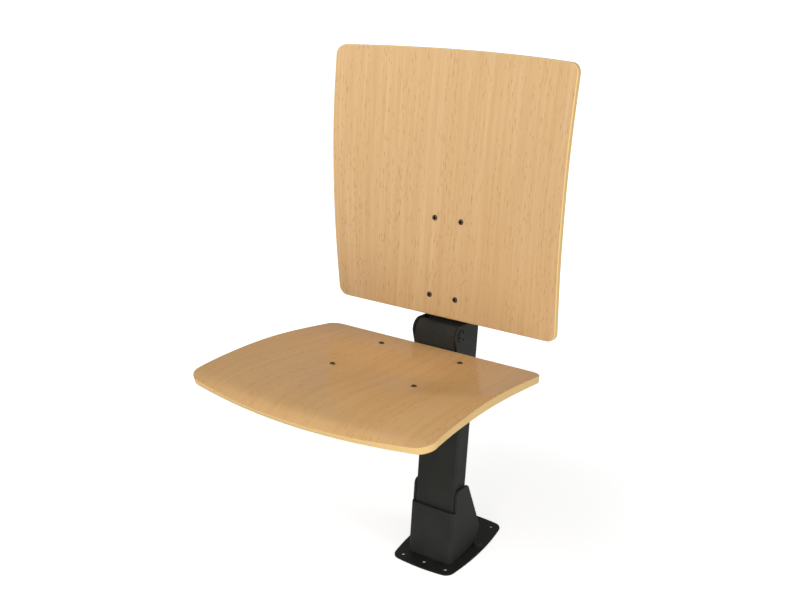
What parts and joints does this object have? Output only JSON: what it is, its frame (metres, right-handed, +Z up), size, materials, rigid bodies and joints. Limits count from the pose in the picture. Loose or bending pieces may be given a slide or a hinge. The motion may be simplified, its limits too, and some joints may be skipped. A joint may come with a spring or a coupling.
{
  "type": "folding auditorium seat",
  "caption": "Fold-up auditorium seat: moulded plywood seat and back on a leaning steel floor post; the seat turns on a pin between two hinge cheeks.",
  "frame": {"origin": "on the floor, at the centre of the four corner anchor holes of the floor plate", "axes": "+Z up, the sitter faces -Y, +X is the right-hand side in a front view"},
  "size_m": [0.4394, 0.549, 0.8994],
  "materials": {
    "beech_ply": "gloss lacquer",
    "black_powder": "satin powder coat",
    "black_screw": "black oxide",
    "zinc_steel": "zinc plated",
    "bright_steel": "ground",
    "nylon": "black nylon",
    "black_plastic": "satin",
    "black_rubber": "matt"
  },
  "bodies": {
    "stand": {"base_plate": "black_powder", "side_bolts": "black_screw", "side_bolt_washers": "zinc_steel", "foot_saddle": "black_powder", "post_tube": "black_powder", "post_cap": "black_plastic", "hinge_cheek_left": "black_powder", "hinge_cheek_right": "black_powder", "hinge_pin": "bright_steel", "fold_stop_pin": "bright_steel", "pin_cap_left": "black_plastic", "pin_cap_right": "black_plastic", "stop_buffer": "black_rubber", "back_plate": "black_powder", "back_pads": "black_rubber", "back_panel": "beech_ply", "back_screws": "black_screw", "back_nuts": "zinc_steel"},
    "seat": {"hinge_barrel": "black_powder", "hinge_bush_left": "nylon", "hinge_bush_right": "nylon", "hinge_leaf": "black_powder", "seat_rib_left": "black_powder", "seat_rib_right": "black_powder", "seat_plate": "black_powder", "seat_pads": "black_rubber", "seat_panel": "beech_ply", "seat_screws": "black_screw", "seat_nuts": "zinc_steel"}
  },
  "joints": [
    {"name": "seat_fold", "type": "hinge", "parent": "stand", "child": "seat", "pos_m": [0, -0.04129, 0.43711], "axis": [-1, 0, 0], "range_deg": [0, 80]}
  ]
}
